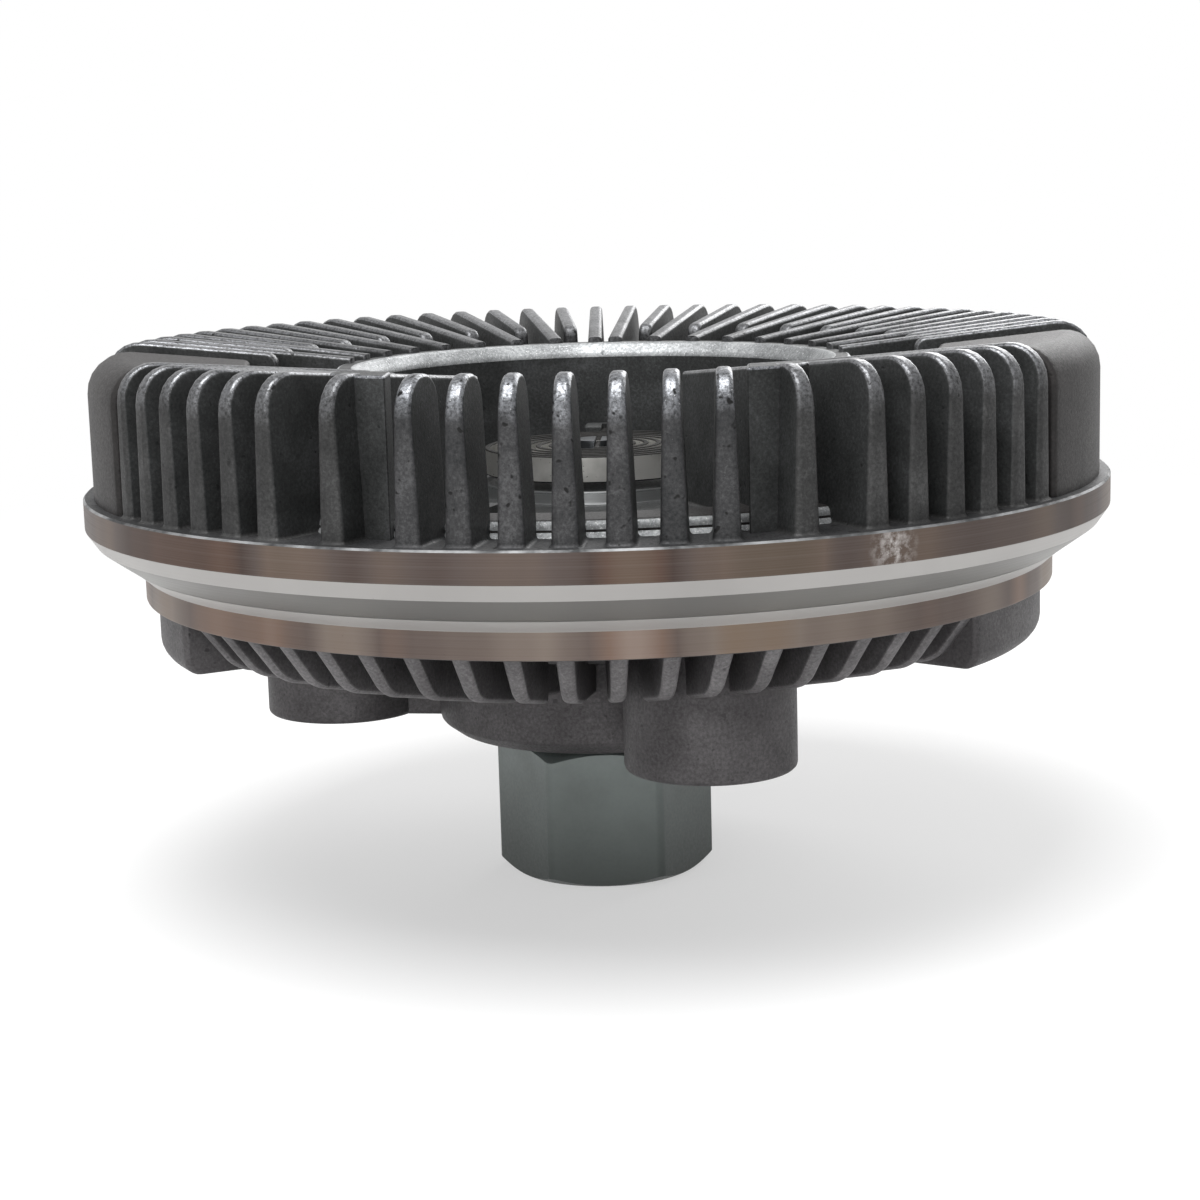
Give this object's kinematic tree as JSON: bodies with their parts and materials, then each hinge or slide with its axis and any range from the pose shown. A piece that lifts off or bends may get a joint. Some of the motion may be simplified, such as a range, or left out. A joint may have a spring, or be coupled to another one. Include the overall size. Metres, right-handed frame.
{
  "type": "viscous fan clutch",
  "caption": "Viscous fan clutch with a finned two-piece housing on a sealed bearing, a bimetal coil valve in its front pocket and a hexagonal nut end with an internal thread.",
  "frame": {"origin": "centre of the nut's lower end face", "axes": "+Z along the clutch's axis from the nut end to the coil pocket, -Y through the middle of the finned window"},
  "size_m": [0.19, 0.19, 0.102],
  "materials": {
    "zinc_plated_steel": "satin zinc plate, greenish grey",
    "rotor_aluminium": "turned",
    "spring_steel": "oiled spring steel",
    "bearing_steel": "ground",
    "cage_brass": "pressed sheet",
    "seal_rubber": "moulded",
    "cast_aluminium_pale": "as cast, mid grey, with turned bands",
    "cast_aluminium_dark": "as cast, dark grey, with a turned flange band",
    "plate_steel": "sheet steel",
    "rivet_aluminium": "upset rivet",
    "wiper_plastic": "moulded",
    "valve_steel": "turned",
    "bush_brass": "turned",
    "bimetal_strip": "rolled strip"
  },
  "bodies": {
    "input": {"drive_shaft": "zinc_plated_steel", "rotor": "rotor_aluminium", "rotor_lock_ring": "spring_steel", "bearing_inner_race": "bearing_steel"},
    "housing": {"rear_body": "cast_aluminium_pale", "front_cover": "cast_aluminium_dark", "housing_seal_ring": "seal_rubber", "bearing_outer_race": "bearing_steel", "bearing_front_seal": "seal_rubber", "bearing_rear_seal": "seal_rubber", "bearing_retaining_ring": "spring_steel", "pump_plate": "plate_steel", "plate_rivets": "rivet_aluminium", "pump_wipers": "wiper_plastic", "valve_shaft_bushing": "bush_brass", "bimetal_coil": "bimetal_strip", "return_passage_plugs": "valve_steel"},
    "rolling": {"bearing_balls": "bearing_steel", "bearing_cage": "cage_brass"},
    "valve": {"valve_shaft": "valve_steel", "valve_arm": "plate_steel", "valve_shaft_seal": "seal_rubber", "valve_retaining_clip": "spring_steel"}
  },
  "joints": [
    {"name": "housing_spin", "type": "hinge", "parent": "input", "child": "housing", "pos_m": [0, 0, 0.038], "axis": [0, 0, 1], "continuous": true},
    {"name": "bearing_roll", "type": "hinge", "parent": "input", "child": "rolling", "pos_m": [0, 0, 0.038], "axis": [0, 0, 1], "continuous": true},
    {"name": "valve_turn", "type": "hinge", "parent": "housing", "child": "valve", "pos_m": [0, 0, 0.072], "axis": [0, 0, 1], "range_deg": [0, 40], "stiffness_Nm_per_rad": 0.02, "deforming": ["bimetal_coil"]}
  ],
  "couplings": [
    {"joint": "bearing_roll", "follows": "housing_spin", "ratio": 0.60312}
  ]
}
